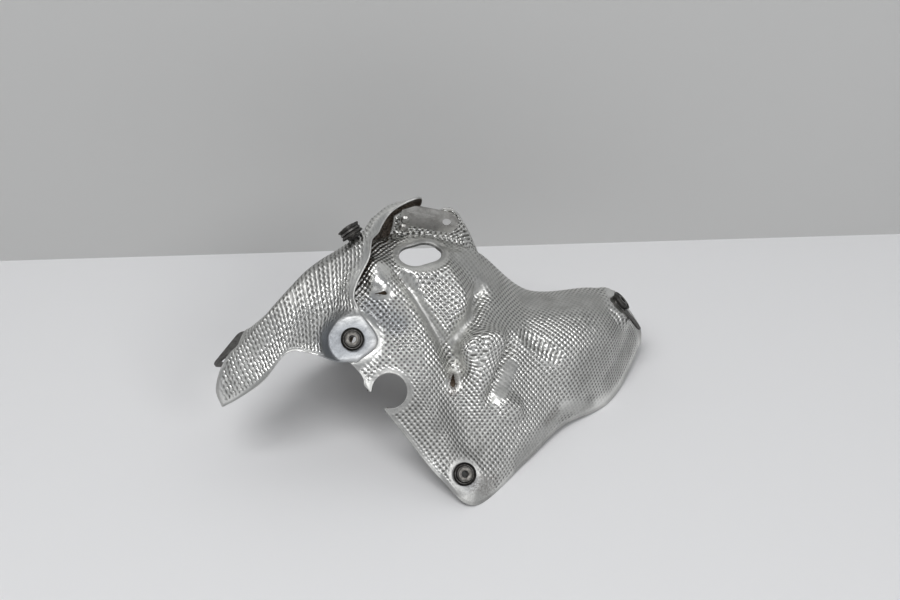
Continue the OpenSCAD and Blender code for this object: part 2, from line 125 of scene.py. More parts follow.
def holeDistance(hole, p):
    # distance outside the outline of a hole, negative inside it, and far off its axis a large one
    at, x, y, n = seatFrame(hole)
    off = p - at
    a, b, c = off @ x, off @ y, off @ n
    half = hole.get("length", 0) / 2
    t = np.clip(a, -half, half)
    share = (t + half) / (2 * half) if half else 0
    radius = hole["radius"] + (hole.get("endRadius", hole["radius"]) - hole["radius"]) * share
    d = np.hypot(a - t, b) - radius
    if "ragged" in hole:
        turn = np.arctan2(b, a)
        d = d + hole["ragged"] * (np.sin(5 * turn + 1) + 0.6 * np.sin(9 * turn))
    return np.where(abs(c) < hole.get("depth", 12), d, 50.0)


def flatPattern(panel, columns=30, rows=26, rounds=900):
    # the sheet relaxed flat, in millimetres, as it was when it was embossed
    gu, gv = np.meshgrid(np.linspace(0, 1, columns), np.linspace(0, 1, rows))
    p = pressed(panel, gu.ravel(), gv.ravel()).reshape(rows, columns, 3)
    stepX = np.linalg.norm(np.diff(p, axis=1), axis=2)
    stepY = np.linalg.norm(np.diff(p, axis=0), axis=2)
    x = np.cumsum(np.concatenate([np.zeros((rows, 1)), stepX], 1), 1)
    y = np.cumsum(np.concatenate([np.zeros((1, columns)), stepY], 0), 0)
    flat = np.stack([x - x[:, columns // 2:columns // 2 + 1], y - y[rows // 2]], 2)
    for _ in range(rounds):
        move, count = np.zeros_like(flat), np.zeros((rows, columns, 1))
        for a, b in (((slice(0, -1), slice(None)), (slice(1, None), slice(None))),
                     ((slice(None), slice(0, -1)), (slice(None), slice(1, None))),
                     ((slice(0, -1), slice(0, -1)), (slice(1, None), slice(1, None))),
                     ((slice(0, -1), slice(1, None)), (slice(1, None), slice(0, -1)))):
            gap = flat[b] - flat[a]
            now = np.linalg.norm(gap, axis=2, keepdims=True)
            rest = np.linalg.norm(p[b] - p[a], axis=2, keepdims=True)
            push = gap / np.maximum(now, 1e-6) * (now - rest) / 2
            move[a] += push; move[b] -= push
            count[a] += 1; count[b] += 1
        flat += 1.4 * move / count
    return flat


def buildSheet(name, panel):
    # closed sheet with rolled edges, holes with lips, a flat pattern and painted-in masks
    nu, nv = panel["cells"]
    gu, gv = np.meshgrid(np.linspace(0, 1, nu + 1), np.linspace(0, 1, nv + 1))
    u, v = gu.ravel().copy(), gv.ravel().copy()
    p = pressed(panel, u, v)
    ids = np.arange(len(u)).reshape(nv + 1, nu + 1)
    quads = np.stack([ids[:-1, :-1], ids[:-1, 1:], ids[1:, 1:], ids[1:, :-1]], -1).reshape(-1, 4)
    # patches of the foil behind the torn holes
    allNormal = np.zeros_like(p)
    for c in range(4):
        np.add.at(allNormal, quads[:, c],
                  np.cross(p[quads[:, 2]] - p[quads[:, 0]], p[quads[:, 3]] - p[quads[:, 1]]))
    behind = [hole for hole in panel["holes"] if "behind" in hole]
    patch = np.concatenate([quads[holeDistance(hole, p[quads].mean(1)) < 2] for hole in behind]
                           + [np.zeros((0, 4), int)])
    depthOf = behind[0]["behind"] if behind else 0
    patchPoints = p - depthOf * unit(allNormal)
    keep = np.ones(len(quads), bool)
    holeOf = np.full(len(u), -1)
    centres = p[quads].mean(1)
    for k, hole in enumerate(panel["holes"]):
        gone = holeDistance(hole, centres) < 0
        keep &= ~gone
        inGone = np.zeros(len(u), bool); inGone[quads[gone]] = True
        inKept = np.zeros(len(u), bool); inKept[quads[keep]] = True
        rim = np.where(inGone & inKept)[0]
        holeOf[rim] = k
        du, dv = 1 / nu, 1 / nv
        for _ in range(4):
            d = holeDistance(hole, p[rim])
            slopeU = (holeDistance(hole, pressed(panel, u[rim] + du / 2, v[rim]))
                   - holeDistance(hole, pressed(panel, u[rim] - du / 2, v[rim])))
            slopeV = (holeDistance(hole, pressed(panel, u[rim], v[rim] + dv / 2))
                   - holeDistance(hole, pressed(panel, u[rim], v[rim] - dv / 2)))
            size = np.maximum(slopeU**2 + slopeV**2, 0.2)
            step = np.clip(-d / size, -1, 1)
            u[rim] = np.clip(u[rim] + np.clip(step * slopeU, -0.8, 0.8) * du, 0, 1)
            v[rim] = np.clip(v[rim] + np.clip(step * slopeV, -0.8, 0.8) * dv, 0, 1)
            p[rim] = pressed(panel, u[rim], v[rim])
    # the grid round each hole evens out, with the outlines and the outer edge held
    near = (holeOf >= 0).reshape(nv + 1, nu + 1)
    for _ in range(4):
        wide = near.copy()
        wide[1:] |= near[:-1]; wide[:-1] |= near[1:]
        wide[:, 1:] |= near[:, :-1]; wide[:, :-1] |= near[:, 1:]
        near = wide
    free = near & (holeOf < 0).reshape(nv + 1, nu + 1)
    free[0] = free[-1] = False; free[:, 0] = free[:, -1] = False
    for _ in range(6):
        for w in (u, v):
            g = w.reshape(nv + 1, nu + 1)
            mean = g.copy()
            mean[1:-1, 1:-1] = (g[:-2, 1:-1] + g[2:, 1:-1] + g[1:-1, :-2] + g[1:-1, 2:]) / 4
            g[free] = mean[free]
    p = pressed(panel, u, v)
    quads = quads[keep]
    # normals of what is left
    faceNormal = np.cross(p[quads[:, 2]] - p[quads[:, 0]], p[quads[:, 3]] - p[quads[:, 1]])
    normal = np.zeros_like(p)
    for c in range(4):
        np.add.at(normal, quads[:, c], faceNormal)
    normal = unit(normal)
    sheetT = panel["thickness"]
    # edges with only one face
    edges = np.concatenate([quads[:, [k, (k + 1) % 4]] for k in range(4)])
    key = np.sort(edges, 1)
    _, first, times = np.unique(key[:, 0] * len(u) + key[:, 1], return_index=True, return_counts=True)
    openEdges = edges[first[times == 1]]
    outward = np.zeros_like(p)
    way = np.cross(p[openEdges[:, 1]] - p[openEdges[:, 0]], normal[openEdges[:, 0]])
    np.add.at(outward, openEdges[:, 0], way); np.add.at(outward, openEdges[:, 1], way)
    outward -= (outward * normal).sum(1, keepdims=True) * normal
    outward = unit(outward)
    used = np.unique(openEdges)
    # the rim runs through rows of (outward, up) offsets in millimetres
    rows = max(len(profile) for profile in panel["rims"].values())
    rimRows = []
    for k in range(rows):
        offset = np.zeros((len(used), 2))
        for hole, profile in panel["rims"].items():
            offset[holeOf[used] == hole] = profile[min(k, len(profile) - 1)]
        rimRows.append(p[used] + offset[:, :1] * outward[used] + offset[:, 1:] * normal[used])
    inner = p - sheetT * normal
    keptPoints = np.unique(quads)
    patchIds, patchFaces = np.unique(patch, return_inverse=True)
    points = [p[keptPoints]] + rimRows + [inner[keptPoints], patchPoints[patchIds]]
    outerIndex = np.full(len(u), -1); outerIndex[keptPoints] = np.arange(len(keptPoints))
    rimIndex = np.full(len(u), -1); rimIndex[used] = np.arange(len(used))
    innerStart = len(keptPoints) + rows * len(used)
    faces = [outerIndex[quads], outerIndex[quads][:, ::-1] + innerStart]
    chain = [outerIndex] + [np.where(rimIndex >= 0, rimIndex + len(keptPoints) + k * len(used), -1)
                            for k in range(rows)] + [outerIndex + innerStart]
    for a, b in zip(chain[:-1], chain[1:]):
        faces.append(np.stack([a[openEdges[:, 1]], a[openEdges[:, 0]], b[openEdges[:, 0]], b[openEdges[:, 1]]], 1))
    faces.append(patchFaces.reshape(-1, 4) + innerStart + len(keptPoints))
    source = np.concatenate([keptPoints] + [used] * rows + [keptPoints, patchIds])
    inside = np.concatenate([np.zeros(len(keptPoints))] + [np.full(len(used), k / (rows + 1)) for k in range(rows)]
                            + [np.ones(len(keptPoints) + len(patchIds))])
    verts, faces = np.concatenate(points), np.concatenate(faces)
    mesh = bpy.data.meshes.new(name)
    mesh.vertices.add(len(verts)); mesh.vertices.foreach_set("co", toFrame(verts).astype(np.float32).ravel())
    mesh.loops.add(faces.size); mesh.loops.foreach_set("vertex_index", faces.astype(np.int32).ravel())
    mesh.polygons.add(len(faces))
    mesh.polygons.foreach_set("loop_start", np.arange(0, faces.size, 4, dtype=np.int32))
    mesh.update(calc_edges=True)
    mesh.polygons.foreach_set("use_smooth", np.ones(len(faces), bool))
    # flat pattern as the UV map, in decimetres
    flat = flatPattern(panel)
    pattern = loft(flat, u, v) / 100
    layer = mesh.uv_layers.new(name="flatPattern")
    layer.data.foreach_set("uv", pattern[source][faces.ravel()].astype(np.float32).ravel())
    # masks for the finish
    edge = np.minimum.reduce([u * panel["span"][0], (1 - u) * panel["span"][0],
                              v * panel["span"][1], (1 - v) * panel["span"][1]])
    for hole in panel["holes"]:
        edge = np.minimum(edge, np.maximum(holeDistance(hole, p), 0))
    masks = {"emboss": 1 - fade(edge, panel["bareEdge"], 2 * panel["bareEdge"])}
    for key in ("rib", "dull", "paintedHighlight", "rust", "cool"):
        masks[key] = np.zeros(len(u))
    for centre, radius, soft in panel["plainSpots"]:
        r = np.linalg.norm(p - np.array(centre, float), axis=1)
        masks["emboss"] *= 1 - fade(r, radius, radius + soft)
    for mask, strength, width, line in panel["zones"]:
        amount = strength * np.exp(-(lineDistance(p, line) / width) ** 4)
        if mask == "plain":
            masks["emboss"] *= 1 - amount
        else:
            masks[mask] = np.maximum(masks[mask], amount)
    # these are worked out here, so that the shader has less to do
    masks["rib"] = np.maximum(masks["rib"], panel["ribs"])
    masks["depth"] = masks["emboss"] * (1 - 0.45 * masks["dull"])
    # oxide share: the dull zones add painted shade, the bright zones take it away as painted highlight, near the
    # edges it is oxide
    masks["oxideAndPaintedLight"] = 0.75 * masks["dull"] - 0.5 * masks["paintedHighlight"] + 0.5 * fade(edge, 1, 4)
    # more grime specks in the dull zones, which also carry painted shade
    masks["speck"] = 0.12 + 0.55 * masks["dull"]
    shown = ("emboss", "depth", "rib", "oxideAndPaintedLight", "speck", "rust", "cool")
    masks = {key: masks[key][source] for key in shown}
    masks["inside"] = inside
    for key, value in masks.items():
        mesh.attributes.new(key, "FLOAT", "POINT").data.foreach_set("value", value.astype(np.float32))
    mesh.validate()
    piece = bpy.data.objects.new(name, mesh)
    bpy.context.scene.collection.objects.link(piece)
    print(name, len(verts), "points", len(faces) * 2, "triangles")
    return piece


mainPanel = {
    "thickness": 1.0,
    "cells": (222, 190),
    "span": (330, 260),       # rough size of the blank along and across, in mm
    "bareEdge": 3.0,          # width of the unembossed hem
    "ribs": 0.0,              # share of the pattern that is drawn out into ribs
    "lines": [
        [[-72, 60, 83], [-43, 40, 52], [-8, 13, 19], [23, 1, 0], [67, 54, 2], [102, 98, 5], [150, 140, 0], [187, 214, 12]],
        [[-76, 67, 90], [-36, 50, 68], [-5, 28, 37], [23, 14, 16], [54, 43, 24], [89, 89, 31], [130, 128, 36], [184, 210, 32]],
        [[-101, 86, 113], [-46, 70, 95], [-17, 54, 73], [11, 48, 48], [43, 59, 53], [78, 106, 65], [120, 138, 68], [175, 206, 50]],
        [[-94, 110, 137], [-55, 97, 119], [-24, 84, 107], [4, 78, 89], [35, 79, 95], [70, 131, 89], [127, 168, 82], [164, 213, 64]],
        [[-80, 137, 155], [-60, 119, 145], [-32, 114, 138], [-4, 113, 128], [30, 132, 120], [73, 166, 94], [129, 191, 85], [160, 215, 68]],
        [[-71, 158, 163], [-49, 143, 156], [-29, 148, 154], [-5, 156, 150], [25, 170, 143], [72, 192, 90], [130, 205, 83], [158, 222, 68]],
        [[-61, 170, 160], [-43, 173, 157], [-23, 177, 155], [1, 180, 152], [25, 180, 134], [70, 210, 72], [126, 223, 67], [160, 228, 60]],
        [[-54, 180, 158], [-39, 182, 161], [-22, 182, 162], [4, 182, 162], [33, 192, 110], [79, 230, 43], [130, 245, 38], [172, 233, 34]],
        [[-51, 182, 165], [-38, 182, 169], [-21, 182, 169], [7, 182, 168], [45, 208, 76], [85, 239, 22], [133, 256, 18], [179, 238, 18]],
        [[-49, 182, 176], [-37, 182, 182], [-20, 182, 175], [9, 182, 174], [54, 223, 43], [91, 247, 6], [137, 266, 2], [182, 240, 4]],
    ],
    "relief": [  # height, half width, line
        (-7.5, 6.5, [[-39, 127, 148], [-24, 108, 131], [-9, 93, 111], [1, 82, 94]]),
        (9.5, 11.5, [[-5, 142, 145], [7, 125, 131], [11, 116, 123]]),
        (-10.5, 7.5, [[27, 138, 125], [20, 117, 120], [4, 90, 103], [6, 76, 86]]),
        (12, 11.5, [[15, 86, 101], [38, 96, 102]]),
        (-10, 8, [[54, 106, 91], [48, 83, 81], [38, 63, 68]]),
        (6.5, 8.5, [[44, 64, 62], [56, 68, 50]]),
        (8.5, 11, [[-64, 131, 153], [-61, 121, 147]]),
        (3.5, 17, [[-43, 94, 117], [-25, 72, 94]]),
        (7, 31, [[99, 131, 77], [143, 163, 60]]),
    ],
    "flats": [  # centre, normal, radius, reach
        ([-83, 85, 112], [0, -0.72, 0.69], 20, 12),
        ([12, 15.5, 21], [0.2, -0.69, 0.7], 12.5, 12),
        ([159.2, 200.7, 68.5], [0.71, 0.06, 0.7], 17, 12),
        ([-8, 182, 173], [0, -1, 0], 16, 4),
        ([-34, 182, 170], [0, -1, 0], 12, 4),
        ([-26, 153, 155], [0.1, -0.14, 0.97], 24, 12),
    ],
    "fine": [  # small dents and folds
        (-1.6, 3.0, [[6, 76, 88], [8, 70, 78]]),
        (1.4, 3.2, [[14, 84, 100], [7, 78, 92]]),
        (1.3, 2.6, [[38, 66, 66], [44, 62, 58]]),
        (-1.2, 3.0, [[66, 121, 89], [80, 118, 80], [94, 115, 72]]),
        (1.2, 3.0, [[60, 114, 86], [76, 111, 78], [90, 108, 68]]),
        (-1.4, 3.5, [[96, 166, 92], [104, 164, 90], [112, 168, 88]]),
        (1.2, 3.0, [[-66, 118, 148], [-56, 114, 144]]),
        (-1.5, 4.0, [[-20, 168, 158], [8, 168, 152], [30, 166, 138]]),
        (1.0, 3.5, [[-49, 79, 105], [-34, 84, 112]]),
    ],
    "holes": [
        {"at": [-26, 153.5, 155.2], "normal": [0.1, -0.14, 0.97], "long": [0.87, 0.49, 0],
         "length": 13, "radius": 14.6},
        {"at": [-51.5, 57.6, 78], "normal": [-0.06, -0.83, 0.55], "long": [1, 0, 0], "radius": 15.8, "depth": 25},
        {"at": [2.5, 74, 78], "normal": [0.28, -0.6, 0.75], "long": [0.15, 0.8, 0.6],
         "length": 9.5, "radius": 3.5, "endRadius": 1.1, "ragged": 0.3, "behind": 1.7},
        {"at": [-60, 111, 142], "normal": [-0.08, -0.88, 0.47], "long": [1, 0, 0.1],
         "length": 8.5, "radius": 1.0, "endRadius": 2.4, "ragged": 0.2, "behind": 1.7},
        {"at": [-83, 85, 112], "normal": [0, -0.72, 0.69], "long": [1, 0, 0], "radius": 6.3, "depth": 6},
        {"at": [12, 15.5, 21], "normal": [0.2, -0.69, 0.7], "long": [1, 0, 0], "radius": 6.3, "depth": 6},
        {"at": [159.2, 200.7, 68.5], "normal": [0.71, 0.06, 0.7], "long": [0.6, -0.6, -0.55], "radius": 6.3, "depth": 6},
        {"at": [-3, 182, 171], "normal": [0, -1, 0], "long": [1, 0, 0], "radius": 4.8, "depth": 6},
    ],
    "rims": {  # outer edge: sheet folded back on itself; opening: turned down; others: cut edge
        -1: [(0.45, 0.1), (0.85, -0.3), (0.85, -1.3), (0.3, -1.75), (-2.6, -1.8), (-3.0, -1.4)],
        0: [(0.7, -0.1), (1.3, -0.6), (1.6, -1.4), (1.6, -3.2), (1.1, -3.5), (0.6, -2.0)],
        1: [(0.45, 0.1), (0.85, -0.3), (0.85, -1.3), (0.3, -1.75), (-2.6, -1.8), (-3.0, -1.4)],
        2: [(0.1, 0.5), (0.5, 0.7), (0.7, 0.3), (0.6, -0.5), (0.4, -0.9)],
        3: [(0.2, 0.3), (0.6, 0.2), (0.7, -0.4), (0.5, -1.0)],
        4: [(0.1, -0.2), (0.1, -0.9)], 5: [(0.1, -0.2), (0.1, -0.9)],
        6: [(0.1, -0.2), (0.1, -0.9)], 7: [(0.1, -0.2), (0.1, -0.9)],
    },
    "plainSpots": [  # centre, radius, soft
        ([-83, 85, 112], 22, 8), ([12, 15.5, 21], 11.5, 4), ([159.2, 200.7, 68.5], 14, 8),
        ([-26, 153, 155], 20, 7), ([22, 6, 8], 14, 9),
    ],
    "zones": [  # mask, strength, half width, line
        ("plain", 0.85, 7, [[-38, 126, 150], [-28, 115, 130], [-17, 99, 114], [-4, 90, 102]]),
        ("plain", 0.9, 7, [[27, 148, 127], [16, 117, 116], [5, 98, 102], [7, 92, 96], [7, 80, 88]]),
        ("plain", 0.95, 9, [[-57, 125, 157], [-62, 116, 149]]),
        ("plain", 0.9, 7, [[54, 94, 76], [47, 78, 69], [41, 66, 63]]),
        ("plain", 0.75, 16, [[73, 169, 95], [100, 170, 91], [134, 182, 85]]),
        ("plain", 0.7, 8, [[61, 48, 8], [80, 73, 14], [95, 92, 17]]),
        ("plain", 0.8, 8, [[104, 99, 25], [129, 120, 7], [160, 150, 2]]),
        ("plain", 0.7, 14, [[-12, 165, 155], [18, 160, 146], [40, 158, 125]]),
        ("rib", 0.7, 9, [[66, 121, 89], [80, 118, 80], [94, 115, 72]]),
                # painted highlights: these zones get the clean light colour and less roughness
                ("paintedHighlight", 0.8, 12, [[-26, 128, 147], [-9, 118, 136], [4, 110, 127]]),
        ("paintedHighlight", 0.7, 9, [[15, 85, 107], [26, 86, 111], [38, 90, 108]]),
        ("paintedHighlight", 0.9, 8, [[-57, 125, 157], [-62, 116, 149]]),
        ("paintedHighlight", 0.8, 9, [[-42, 88, 114], [-34, 84, 110]]),
        ("paintedHighlight", 0.8, 7, [[43, 67, 64], [50, 64, 58]]),
        ("cool", 0.55, 11, [[-57, 102, 127], [-67, 107, 131], [-46, 94, 122]]),
        ("cool", 0.4, 9, [[17, 12, 16], [12, 16, 20]]),
        # dull zones: matt oxide grey, partly painted shade where the sheet faces away from the lamp
        ("dull", 0.9, 17, [[12, 15.5, 21], [24, 4, 4]]),
        ("dull", 1.0, 26, [[-34, 48, 65], [-9, 38, 51], [17, 33, 33]]),
        ("dull", 0.7, 16, [[73, 169, 95], [100, 170, 91], [134, 182, 85]]),
        ("dull", 0.85, 11, [[61, 48, 8], [80, 73, 14], [95, 92, 17], [129, 115, 15]]),
        ("dull", 0.8, 15, [[150, 145, 22], [168, 185, 30], [176, 210, 34]]),
        ("dull", 0.6, 22, [[120, 125, 45], [150, 165, 50]]),
        ("dull", 0.6, 18, [[-12, 165, 155], [18, 160, 146], [40, 158, 125]]),
        ("rust", 1.0, 5.5, [[2.5, 76, 80], [2, 66, 71]]),
        ("rust", 1.0, 4.5, [[-65, 107, 147], [-55, 107, 147]]),
        # painted shade along the grooves and the crease
        ("dull", 0.8, 6, [[-38, 126, 150], [-28, 115, 130], [-17, 99, 114], [-4, 90, 102]]),
        ("dull", 0.8, 6, [[27, 148, 127], [16, 117, 116], [5, 98, 102], [7, 80, 88]]),
        ("dull", 0.7, 6, [[54, 94, 76], [47, 78, 69], [41, 66, 63]]),
        ("rust", 0.5, 6, [[95, 93, 25], [87, 84, 23]]),
        ("rust", 0.55, 8, [[32, 13, 8], [36, 18, 10], [21, 11, 14]]),
        ("rust", 0.35, 7, [[87, 183, 90], [92, 178, 91]]),
    ],
}

sleevePanel = {
    "thickness": 1.0,
    "cells": (160, 170),
    "span": (175, 190),
    "bareEdge": 3.0,
    "ribs": 0.65,
    "lines": [
        [[-194, 52, 66], [-178, 50, 78], [-157, 50, 96], [-136, 60, 118], [-116, 65, 113], [-97, 67, 104], [-79, 74, 97]],
        [[-198, 56, 80], [-179, 54, 95], [-156, 61, 113], [-133, 66, 131], [-113, 72, 124], [-89, 79, 110], [-62, 83, 113]],
        [[-194, 62, 96], [-174, 61, 116], [-152, 70, 136], [-126, 79, 152], [-104, 86, 146], [-91, 91, 134], [-79, 101, 133]],
        [[-186, 67, 110], [-168, 70, 129], [-146, 80, 151], [-120, 101, 169], [-104, 106, 168], [-94, 106, 160], [-82, 112, 146]],
        [[-182, 87, 104], [-165, 90, 122], [-143, 102, 145], [-118, 122, 163], [-96, 121, 175], [-80, 127, 174], [-68, 134, 168]],
        [[-177, 103, 108], [-162, 110, 118], [-140, 123, 134], [-114, 144, 152], [-91, 139, 173], [-72, 148, 180], [-60, 160, 180]],
        [[-171, 119, 98], [-156, 128, 105], [-135, 144, 116], [-112, 166, 130], [-87, 164, 166], [-63, 172, 185], [-48, 176, 188]],
        [[-167, 134, 73], [-150, 147, 82], [-130, 166, 86], [-109, 192, 79], [-84, 190, 130], [-57, 195, 174], [-26, 188, 191]],
        [[-158, 148, 56], [-142, 166, 58], [-124, 188, 47], [-104, 219, -1], [-82, 215, 60], [-59, 215, 128], [-34, 206, 157]],
    ],
    "relief": [],
    "flats": [
        ([-83, 84.134, 112.83], [0, -0.72, 0.69], 20, 12),
        ([-81.56, 157.27, 167.65], [-0.56, 0.48, 0.68], 14, 12),
        ([-151, 129, 108], [-0.57, 0.68, 0.46], 14, 12),
    ],
    "fine": [
        (1.5, 2.6, [[-123, 63, 119], [-118, 66, 115], [-112, 68, 112]]),
        (-1.3, 2.4, [[-126, 66, 123], [-120, 70, 119], [-112, 73, 117]]),
        (1.0, 2.2, [[-130, 68, 127], [-124, 73, 126]]),
        (-1.4, 4.0, [[-190, 54, 86], [-186, 55, 90]]),
        (1.2, 4.5, [[-93, 106, 159], [-96, 96, 150]]),
    ],
    "holes": [
        {"at": [-83, 85, 112], "normal": [0, -0.72, 0.69], "long": [1, 0, 0], "radius": 6.3, "depth": 6},
    ],
    "rims": {
        -1: [(0.4, 0.75), (0.8, 0.6), (1.0, 0.1), (1.0, -0.5), (0.7, -0.95)],
        0: [(0.1, -0.2), (0.1, -0.9)],
    },
    "plainSpots": [([-83, 85, 112], 20, 6), ([-96, 80, 112], 14, 6)],
    "zones": [
        ("plain", 0.9, 9, [[-82, 112, 146], [-68, 134, 168], [-60, 160, 180], [-48, 176, 188], [-26, 188, 191]]),
        ("plain", 0.6, 5, [[-194, 52, 66], [-198, 60, 92]]),
        # painted highlights: lighter, glossier bands
        ("paintedHighlight", 0.7, 9, [[-93, 106, 159], [-109, 87, 152], [-133, 68, 135], [-159, 58, 112]]),
        ("paintedHighlight", 0.8, 6, [[-123, 63, 117], [-112, 68, 113]]),
        ("cool", 0.7, 20, [[-83, 85, 112], [-96, 80, 112]]),
        # dull zones: matt oxide grey, and painted shade on the upper side of the sleeve
        ("dull", 1.0, 21, [[-83, 85, 112], [-92, 82, 112]]),
        ("dull", 0.7, 22, [[-165, 83, 128], [-126, 103, 162], [-96, 122, 178]]),
    ],
}


def node(tree, kind, links=None, **settings):
    # adds a node with its settings; a link value that is a socket is joined, any other is set
    made = tree.nodes.new(kind)
    for key, value in settings.items():
        setattr(made, key, value)
    for key, value in (links or {}).items():
        if isinstance(value, bpy.types.NodeSocket):
            tree.links.new(value, made.inputs[key])
        else:
            made.inputs[key].default_value = value
    return made


def newMaterial(name):
    material = bpy.data.materials.new(name)
    material.use_nodes = True
    material.node_tree.nodes.clear()
    return material, material.node_tree


def embossedAluminium(name, finish):
    # Rolled aluminium sheet, embossed and pressed: a lattice of small facets that sparkle where
    # they face the lamp, matt grey oxide with painted shade and painted highlights, and painted shade on the sooty
    # inner face
    material, tree = newMaterial(name)
    uv = node(tree, "ShaderNodeUVMap", uv_map="flatPattern").outputs[0]
    mask = {key: node(tree, "ShaderNodeAttribute", attribute_name=key).outputs["Fac"]
            for key in ("emboss", "depth", "rib", "oxideAndPaintedLight", "speck", "rust", "cool", "inside")}

    # the press has pulled the lattice a little out of line
    drift = node(tree, "ShaderNodeTexNoise", {"Vector": uv, "Scale": 7.0, "Detail": 2.0}).outputs["Color"]
    sheet = node(tree, "ShaderNodeVectorMath", {0: drift, 1: (finish["drift"] / 100,) * 3, 2: uv},
                 operation="MULTIPLY_ADD").outputs[0]
    turned = node(tree, "ShaderNodeMapping", {
        "Vector": sheet, "Rotation": (0, 0, math.radians(finish["turn"])),
        "Scale": tuple(2 * math.pi * 100 / pitch for pitch in finish["pitch"]) + (1,)}).outputs[0]
    waves = node(tree, "ShaderNodeVectorMath", {0: turned}, operation="SINE").outputs[0]
    waves = node(tree, "ShaderNodeSeparateXYZ", {0: waves})
    lattice = node(tree, "ShaderNodeMath", {0: waves.outputs[0], 1: waves.outputs[1]},
                   operation="MULTIPLY").outputs[0]
    # ribs: the same lattice drawn out into wavy lines
    ribbed = node(tree, "ShaderNodeMapping", {
        "Vector": sheet, "Rotation": (0, 0, math.radians(finish["ribTurn"])),
        "Scale": tuple(2 * math.pi * 100 / pitch for pitch in finish["ribPitch"]) + (1,)}).outputs[0]
    ribbed = node(tree, "ShaderNodeSeparateXYZ", {0: ribbed})
    sway = node(tree, "ShaderNodeMath", {0: ribbed.outputs[1]}, operation="SINE").outputs[0]
    phase = node(tree, "ShaderNodeMath", {0: sway, 1: finish["sway"], 2: ribbed.outputs[0]},
                 operation="MULTIPLY_ADD").outputs[0]
    ribs = node(tree, "ShaderNodeMath", {0: phase}, operation="SINE").outputs[0]
    pattern = node(tree, "ShaderNodeMix", {0: mask["rib"], 2: lattice, 3: ribs}).outputs[0]
    # some facets are pressed flatter than others
    uneven = node(tree, "ShaderNodeTexNoise", {"Vector": uv, "Scale": 26.0, "Detail": 3.0,
                                               "Roughness": 0.7}).outputs[0]
    uneven = node(tree, "ShaderNodeMapRange", {0: uneven, 1: 0.3, 2: 0.7, 3: 0.5 * finish["depth"],
                                               4: 1.2 * finish["depth"]}).outputs[0]
    depth = node(tree, "ShaderNodeMath", {0: mask["depth"], 1: uneven}, operation="MULTIPLY").outputs[0]
    height = node(tree, "ShaderNodeMath", {0: pattern, 1: depth}, operation="MULTIPLY").outputs[0]
    # handling dents and the pebbled skin of worn sheet
    for scale, detail, amount in ((60.0, 3.0, finish["pebble"]), (9.0, 2.0, finish["dent"])):
        worn = node(tree, "ShaderNodeTexNoise", {"Vector": uv, "Scale": scale, "Detail": detail}).outputs[0]
        height = node(tree, "ShaderNodeMath", {0: worn, 1: amount, 2: height},
                      operation="MULTIPLY_ADD").outputs[0]
    bump = node(tree, "ShaderNodeBump", {"Height": height, "Strength": 1.0, "Distance": 0.001}).outputs[0]

    # colour: clean metal, oxide grey in blotches with painted shade and highlights, grime specks, and painted shade
    # down in the pits
    blotch = node(tree, "ShaderNodeTexNoise", {"Vector": uv, "Scale": 5.0, "Detail": 6.0,
                                               "Roughness": 0.65}).outputs[0]
    blotch = node(tree, "ShaderNodeMapRange", {0: blotch, 1: 0.38, 2: 0.66}).outputs[0]
    # painted shade and painted highlight come in here through the oxide mask
    oxideAndPaintedLight = node(tree, "ShaderNodeMath", {0: blotch, 1: 0.3, 2: mask["oxideAndPaintedLight"]}, operation="MULTIPLY_ADD",
                 use_clamp=True).outputs[0]
    tone = node(tree, "ShaderNodeMix", {0: oxideAndPaintedLight, 6: toLinear(finish["clean"]), 7: toLinear(finish["oxideAndPaintedLight"])},
                data_type="RGBA").outputs[2]
    tone = node(tree, "ShaderNodeMix", {0: mask["cool"], 6: tone, 7: toLinear(finish["cool"])},
                data_type="RGBA").outputs[2]
    # painted shade: the pits of the pattern are darkened toward the grime colour
    pitShade = node(tree, "ShaderNodeMapRange", {0: pattern, 1: 0.15, 2: -0.9, 3: 0.0, 4: finish["pitShade"]}).outputs[0]
    pitShade = node(tree, "ShaderNodeMath", {0: pitShade, 1: mask["emboss"]}, operation="MULTIPLY").outputs[0]
    speck = node(tree, "ShaderNodeTexNoise", {"Vector": uv, "Scale": 95.0, "Detail": 4.0,
                                              "Roughness": 0.75}).outputs[0]
    speck = node(tree, "ShaderNodeMapRange", {0: speck, 1: 0.52, 2: 0.72}).outputs[0]
    grimeAndPitShade = node(tree, "ShaderNodeMath", {0: speck, 1: mask["speck"], 2: pitShade}, operation="MULTIPLY_ADD",
                 use_clamp=True).outputs[0]
    tone = node(tree, "ShaderNodeMix", {0: grimeAndPitShade, 6: tone, 7: toLinear(finish["grimeAndPitShade"])},
                data_type="RGBA").outputs[2]
    rusty = node(tree, "ShaderNodeTexNoise", {"Vector": uv, "Scale": 55.0, "Detail": 5.0,
                                              "Roughness": 0.7}).outputs[0]
    rusty = node(tree, "ShaderNodeMapRange", {0: rusty, 1: 0.42, 2: 0.58}).outputs[0]
    rusty = node(tree, "ShaderNodeMath", {0: rusty, 1: mask["rust"]}, operation="MULTIPLY").outputs[0]
    # painted shade: the inner face is darkened to sooty browns
    innerShadeTone = node(tree, "ShaderNodeMix", {0: blotch, 6: toLinear(finish["inner"]), 7: toLinear(finish["sootAndShade"])},
                 data_type="RGBA").outputs[2]
    innerShare = node(tree, "ShaderNodeMapRange", {0: mask["inside"], 1: 0.55, 2: 0.95}).outputs[0]
    tone = node(tree, "ShaderNodeMix", {0: innerShare, 6: tone, 7: innerShadeTone}, data_type="RGBA").outputs[2]
    tone = node(tree, "ShaderNodeMix", {0: rusty, 6: tone, 7: toLinear(finish["rust"])},
                data_type="RGBA").outputs[2]

